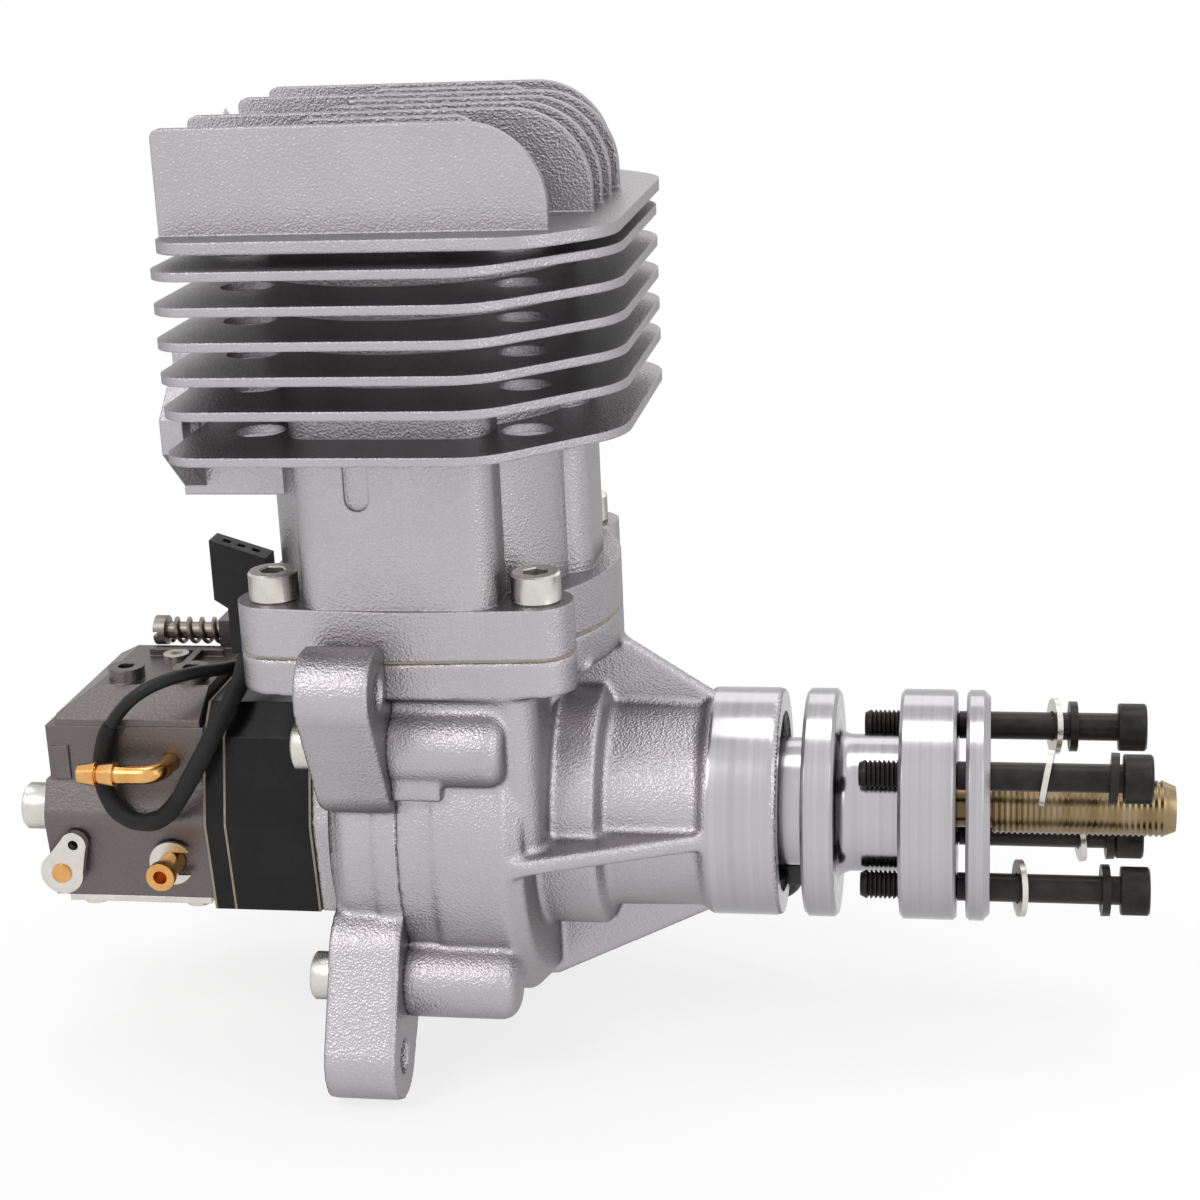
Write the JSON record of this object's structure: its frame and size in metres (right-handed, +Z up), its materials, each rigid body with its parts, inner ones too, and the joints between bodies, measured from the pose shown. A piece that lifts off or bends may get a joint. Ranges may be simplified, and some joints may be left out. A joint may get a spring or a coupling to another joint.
{
  "type": "model aircraft gasoline engine",
  "caption": "Single-cylinder two-stroke engine with a finned cylinder, lugged crankcase, reed inlet and diaphragm carburettor, and a bolted propeller hub with a centring stud.",
  "frame": {"origin": "centre of the four mounting lugs' hole pattern, on the crank axis, in the plane of the lugs' rear faces", "axes": "+X forward along the crankshaft to the propeller, +Y to the side away from the fuel nipple, +Z up the cylinder"},
  "size_m": [0.2063, 0.0918, 0.1672],
  "materials": {
    "blasted_aluminium": "shot-blasted casting",
    "turned_aluminium": "turned bright",
    "plated_steel": "zinc plated",
    "black_steel": "black oxide",
    "gold_steel": "yellow passivated",
    "ground_steel": "ground",
    "piston_aluminium": "machined",
    "ring_iron": "ground",
    "carb_metal": "die cast, brownish grey",
    "brass": "bright",
    "black_plastic": "gloss",
    "reed_fibre": "smooth",
    "gasket": "matt",
    "black_housing": "satin",
    "black_rubber": "satin"
  },
  "bodies": {
    "engine": {"crankcase_front": "blasted_aluminium", "rear_cover": "blasted_aluminium", "cylinder": "blasted_aluminium", "case_screws": "plated_steel", "cylinder_screws": "plated_steel", "carb_screws": "plated_steel", "pump_cover_screw": "plated_steel", "metering_cover_screws": "plated_steel", "metering_cover": "plated_steel", "idle_spring": "plated_steel", "main_bearing_outer": "ground_steel", "main_bearing_balls": "ground_steel", "nose_bearing_outer": "ground_steel", "nose_bearing_balls": "ground_steel", "carb_body": "carb_metal", "pump_cover": "carb_metal", "fuel_nipple": "brass", "reed_housing": "black_plastic", "insulator_plate": "black_plastic", "reed_cage": "black_plastic", "reed_petals": "reed_fibre", "cylinder_gasket": "gasket", "inlet_gaskets": "gasket", "sensor_plug": "black_housing", "ignition_sensor": "black_housing", "sensor_lead": "black_rubber", "lead_sleeve": "black_rubber", "shaft_seal": "black_rubber"},
    "crank": {"main_bearing_inner": "ground_steel", "nose_bearing_inner": "ground_steel", "crankshaft": "ground_steel", "spacer_collar": "turned_aluminium", "prop_hub": "turned_aluminium", "prop_washer": "turned_aluminium", "prop_stud": "gold_steel", "trigger_magnet": "ground_steel", "prop_screws": "black_steel", "prop_flat_washers": "plated_steel", "prop_lock_washers": "black_steel"},
    "piston_body": {"piston": "piston_aluminium", "piston_rings": "ring_iron", "wrist_pin": "ground_steel", "pin_clips": "ground_steel"},
    "rod_body": {"connecting_rod": "ground_steel", "small_end_bearing": "ground_steel", "big_end_bearing": "ground_steel", "crankpin": "ground_steel"},
    "throttle": {"throttle_shaft": "brass", "throttle_plate": "brass", "throttle_clip": "plated_steel", "throttle_lever": "plated_steel"},
    "choke": {"choke_shaft": "brass", "choke_plate": "brass", "choke_lever": "plated_steel"},
    "idle_adjuster": {"idle_screw": "plated_steel"},
    "high_adjuster": {"high_needle": "plated_steel"},
    "low_adjuster": {"low_needle": "plated_steel"}
  },
  "joints": [
    {"name": "crank_spin", "type": "hinge", "parent": "engine", "child": "crank", "pos_m": [0, 0, 0], "axis": [1, 0, 0], "continuous": true},
    {"name": "piston_slide", "type": "slide", "parent": "engine", "child": "piston_body", "axis": [0, 0, 1], "range_m": [-0.035, 0]},
    {"name": "rod_swing", "type": "hinge", "parent": "piston_body", "child": "rod_body", "pos_m": [0.0146, 0, 0.0775], "axis": [1, 0, 0], "range_deg": [-10, 10]},
    {"name": "throttle_turn", "type": "hinge", "parent": "engine", "child": "throttle", "pos_m": [-0.0329, 0, -0.0058], "axis": [0, 1, 0], "range_deg": [0, 75], "stiffness_Nm_per_rad": 0.004, "springref_deg": -28.65},
    {"name": "choke_turn", "type": "hinge", "parent": "engine", "child": "choke", "pos_m": [-0.0535, 0, -0.0078], "axis": [0, 1, 0], "range_deg": [-75, 0]},
    {"name": "idle_screw_turn", "type": "hinge", "parent": "engine", "child": "idle_adjuster", "pos_m": [-0.044, 0.0125, 0.0272], "axis": [1, 0, 0], "range_deg": [-180, 180]},
    {"name": "high_needle_turn", "type": "hinge", "parent": "engine", "child": "high_adjuster", "pos_m": [-0.0394, 0.018, 0.0062], "axis": [0, 1, 0], "range_deg": [-180, 180]},
    {"name": "low_needle_turn", "type": "hinge", "parent": "engine", "child": "low_adjuster", "pos_m": [-0.0464, 0.018, 0.0062], "axis": [0, 1, 0], "range_deg": [-180, 180]}
  ]
}
